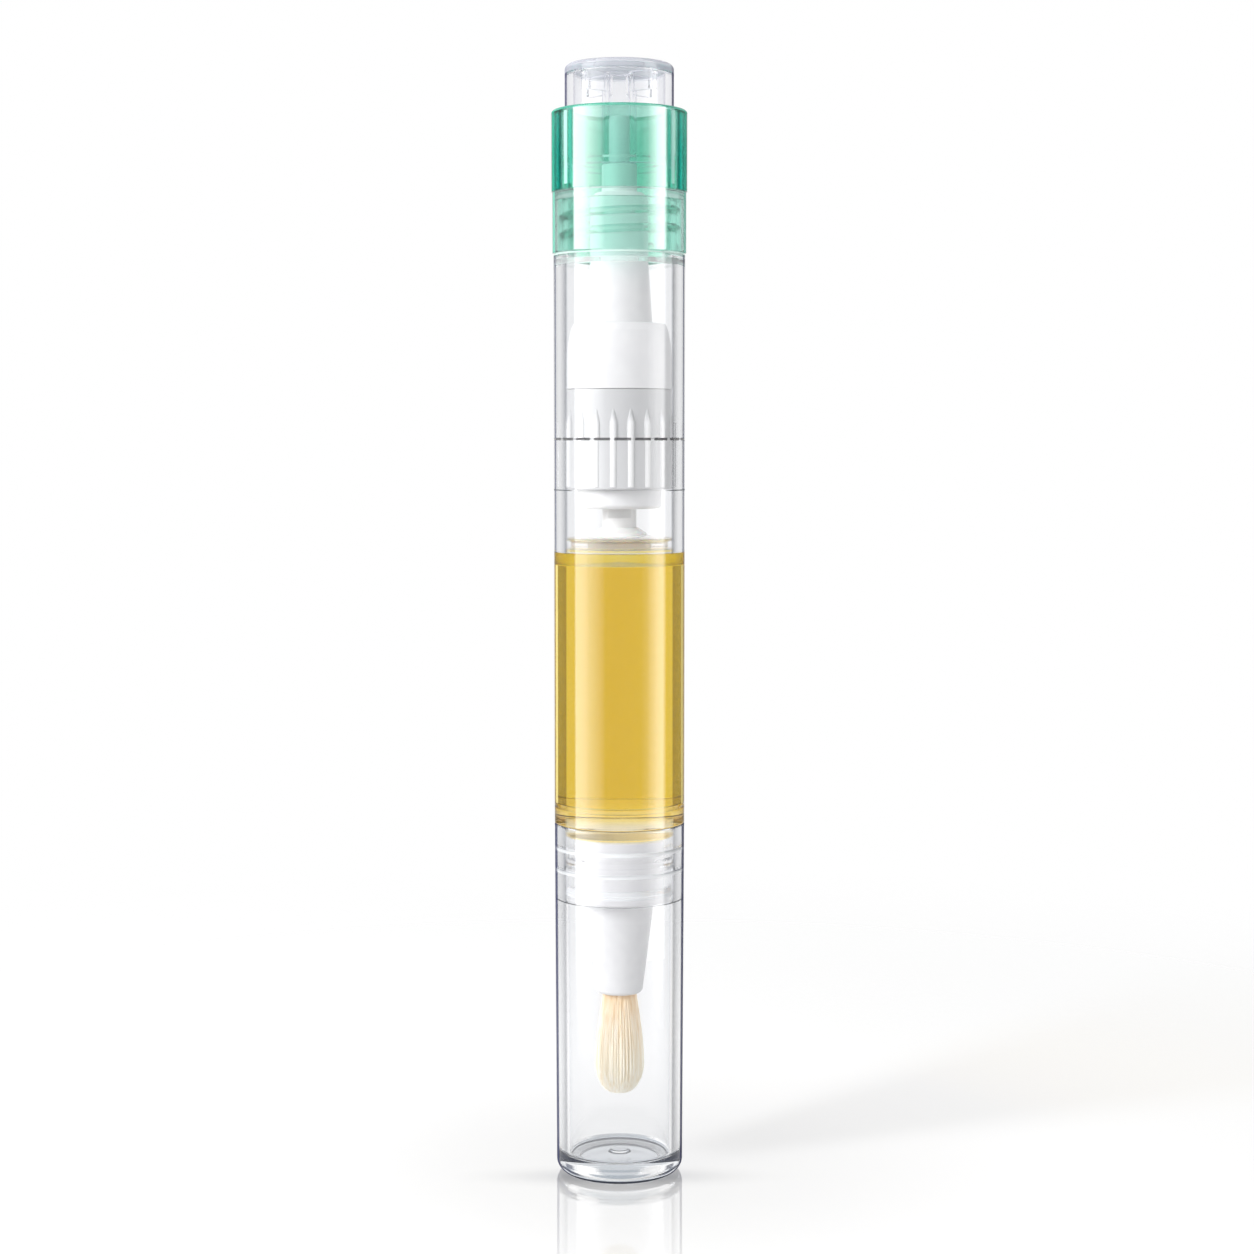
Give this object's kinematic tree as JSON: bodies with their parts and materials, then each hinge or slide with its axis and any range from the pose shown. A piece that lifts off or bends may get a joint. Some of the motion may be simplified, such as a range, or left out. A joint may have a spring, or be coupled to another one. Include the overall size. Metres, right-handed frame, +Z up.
{
  "type": "nail oil pen",
  "caption": "Slim clear click pen for nail oil: cap over a brush tip, amber oil column with piston, white ratchet drive, green tail collar and clear push button.",
  "frame": {"origin": "middle of the cap's base ring, on the surface that the pen stands on", "axes": "+Z up the pen's axis from the cap to the push button; -Y faces the viewer of the picture"},
  "size_m": [0.0154, 0.0154, 0.1274],
  "materials": {
    "clear_cap": "polished clear styrene",
    "clear_barrel": "polished clear styrene",
    "clear_button": "polished clear styrene",
    "green_plastic": "polished green tinted styrene",
    "oil": "clear amber oil",
    "white_plastic": "moulded white polypropylene",
    "piston_plastic": "translucent natural polyethylene",
    "screw_plastic": "moulded white acetal",
    "cam_plastic": "moulded off-white acetal",
    "spring_steel": "drawn stainless wire",
    "bristle": "cream nylon filament"
  },
  "bodies": {
    "barrel": {"reservoir_barrel": "clear_barrel", "oil_fill": "oil", "brush_holder": "white_plastic", "bristles": "bristle", "feed_tube": "white_plastic", "lead_nut": "white_plastic", "ribbed_coupling": "white_plastic", "cam_ring_lower": "cam_plastic", "cam_ring_upper": "cam_plastic", "return_spring": "spring_steel", "ratchet_housing": "white_plastic", "mechanism_barrel": "clear_barrel", "tail_collar": "green_plastic"},
    "cap": {"cap_shell": "clear_cap"},
    "button": {"push_button": "clear_button", "pusher": "white_plastic"},
    "rotor": {"rotor": "cam_plastic"},
    "piston": {"piston": "piston_plastic"},
    "screw": {"lead_screw": "screw_plastic"}
  },
  "joints": [
    {"name": "cap_pull", "type": "slide", "parent": "barrel", "child": "cap", "axis": [0, 0, -1], "range_m": [0, 0.045]},
    {"name": "button_press", "type": "slide", "parent": "barrel", "child": "button", "axis": [0, 0, -1], "range_m": [0, 0.0025], "stiffness_N_per_m": 1200, "springref_m": -0.0012, "deforming": ["return_spring"]},
    {"name": "rotor_turn", "type": "hinge", "parent": "button", "child": "rotor", "pos_m": [0, 0, 0.0893], "axis": [0, 0, 1], "range_deg": [0, 4500]},
    {"name": "piston_feed", "type": "slide", "parent": "barrel", "child": "piston", "axis": [0, 0, -1], "range_m": [0, 0.025], "deforming": ["oil_fill"]},
    {"name": "screw_turn", "type": "hinge", "parent": "piston", "child": "screw", "pos_m": [0, 0, 0.0733], "axis": [0, 0, 1], "range_deg": [0, 4500]}
  ],
  "couplings": [
    {"joint": "rotor_turn", "follows": "piston_feed", "rad_per_m": 3141.6},
    {"joint": "screw_turn", "follows": "piston_feed", "rad_per_m": 3141.6}
  ]
}
